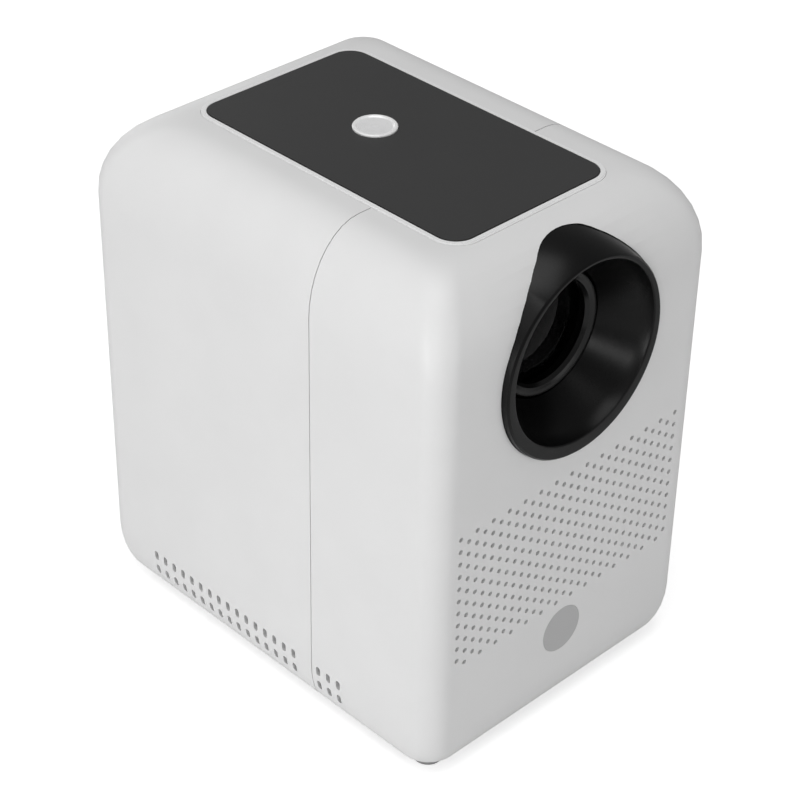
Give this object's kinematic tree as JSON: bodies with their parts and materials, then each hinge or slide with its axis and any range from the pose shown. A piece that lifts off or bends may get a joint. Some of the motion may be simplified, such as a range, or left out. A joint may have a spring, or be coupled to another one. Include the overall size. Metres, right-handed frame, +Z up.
{
  "type": "projector with built-in disc player",
  "caption": "Upright table-top projector with a flared lens hood, perforated speaker front, dark top panel with a round button, and a disc tray that slides out of the back.",
  "frame": {"origin": "on the floor under the middle of the object, level with the soles of its feet", "axes": "+Z up, the lens and speaker front face -Y, +X to the right seen from the lens side looking along +Y"},
  "size_m": [0.15, 0.204, 0.2264],
  "materials": {
    "shell_white": "fine satin moulded plastic",
    "panel_grey": "dark satin plastic panel",
    "trim_pale": "pale satin trim",
    "button_silver": "satin with a bright rim",
    "hood_black": "semi-gloss black",
    "black_plastic": "matt black",
    "lens_glass": "coated optical glass",
    "ir_grey": "smooth grey",
    "rubber_grey": "matt",
    "steel": "plain",
    "aluminium": "as extruded",
    "brass": "turned",
    "board_green": "solder mask",
    "part_tan": "wound and potted parts",
    "cloth_grey": "woven acoustic cloth",
    "white_plastic": "natural moulding"
  },
  "bodies": {
    "casing": {"front_shell": "shell_white", "rear_shell": "shell_white", "base_cover": "shell_white", "feet": "rubber_grey", "base_screws": "steel", "tripod_insert": "brass", "support_frame": "black_plastic", "top_panel": "panel_grey", "panel_frame": "trim_pale", "button_board": "board_green", "button_switch": "black_plastic", "ir_window": "ir_grey", "ir_board": "board_green", "lens_hood": "hood_black", "lens_sleeve": "black_plastic", "focus_motor": "steel", "engine_housing": "black_plastic", "engine_cover": "black_plastic", "fresnel_front": "lens_glass", "lcd_panel": "steel", "fresnel_rear": "lens_glass", "condenser_lens": "lens_glass", "led_module": "aluminium", "heat_sink": "aluminium", "fan_frame": "black_plastic", "main_board": "board_green", "hdmi_port": "steel", "usb_port": "steel", "audio_jack": "black_plastic", "power_board": "board_green", "power_parts": "part_tan", "power_inlet": "black_plastic", "speaker_left": "steel", "speaker_right": "steel", "cone_left": "black_plastic", "cone_right": "black_plastic", "grille_cloth": "cloth_grey", "drive_chassis": "steel", "drive_cover": "steel"},
    "button": {"power_button": "button_silver"},
    "lens_barrel": {"lens_cell": "black_plastic", "lens_front": "lens_glass", "lens_rear": "lens_glass"},
    "focus_gear": {"focus_ring": "black_plastic"},
    "focus_pinion_shaft": {"focus_pinion": "white_plastic"},
    "fan": {"fan_rotor": "black_plastic"},
    "tray": {"disc_tray": "black_plastic", "tray_bezel": "black_plastic", "traverse_frame": "steel", "spindle_motor": "steel", "guide_rods": "steel", "sled_motor": "steel"},
    "eject": {"eject_button": "white_plastic"},
    "left_rail": {"rail_left": "white_plastic"},
    "right_rail": {"rail_right": "white_plastic"},
    "platter": {"turntable": "black_plastic"},
    "sled": {"pickup_sled": "black_plastic", "pickup_lens": "lens_glass"},
    "feed_screw": {"lead_screw": "steel"}
  },
  "joints": [
    {"name": "tray_slide", "type": "slide", "parent": "casing", "child": "tray", "axis": [0, 1, 0], "range_m": [0, 0.128]},
    {"name": "left_rail_slide", "type": "slide", "parent": "casing", "child": "left_rail", "axis": [0, 1, 0], "range_m": [0, 0.064]},
    {"name": "right_rail_slide", "type": "slide", "parent": "casing", "child": "right_rail", "axis": [0, 1, 0], "range_m": [0, 0.064]},
    {"name": "eject_press", "type": "slide", "parent": "tray", "child": "eject", "axis": [0, -1, 0], "range_m": [0, 0.0008], "stiffness_N_per_m": 500, "springref_m": -0.0004},
    {"name": "platter_spin", "type": "hinge", "parent": "tray", "child": "platter", "pos_m": [0, 0.03545, 0.1145], "axis": [0, 0, 1], "continuous": true},
    {"name": "sled_slide", "type": "slide", "parent": "tray", "child": "sled", "axis": [0, -1, 0], "range_m": [0, 0.034]},
    {"name": "feed_screw_spin", "type": "hinge", "parent": "tray", "child": "feed_screw", "pos_m": [0.017, 0.00095, 0.1121], "axis": [0, 1, 0], "range_deg": [0, 4081]},
    {"name": "power_press", "type": "slide", "parent": "casing", "child": "button", "axis": [0, 0, -1], "range_m": [0, 0.0012], "stiffness_N_per_m": 600, "springref_m": -0.0005},
    {"name": "focus_turn", "type": "hinge", "parent": "casing", "child": "focus_gear", "pos_m": [0, -0.06105, 0.1755], "axis": [0, 1, 0], "range_deg": [0, 90.1]},
    {"name": "barrel_slide", "type": "slide", "parent": "casing", "child": "lens_barrel", "axis": [0, 1, 0], "range_m": [0, 0.003]},
    {"name": "pinion_spin", "type": "hinge", "parent": "casing", "child": "focus_pinion_shaft", "pos_m": [0.02837, -0.05905, 0.14713], "axis": [0, 1, 0], "range_deg": [-510.5, 0]},
    {"name": "fan_spin", "type": "hinge", "parent": "casing", "child": "fan", "pos_m": [0, 0.09095, 0.1649], "axis": [0, 1, 0], "continuous": true}
  ],
  "couplings": [
    {"joint": "left_rail_slide", "follows": "tray_slide", "ratio": 0.5},
    {"joint": "right_rail_slide", "follows": "tray_slide", "ratio": 0.5},
    {"joint": "feed_screw_spin", "follows": "sled_slide", "rad_per_m": 2094.4},
    {"joint": "focus_turn", "follows": "barrel_slide", "rad_per_m": 523.6},
    {"joint": "pinion_spin", "follows": "barrel_slide", "rad_per_m": -2967.1}
  ]
}
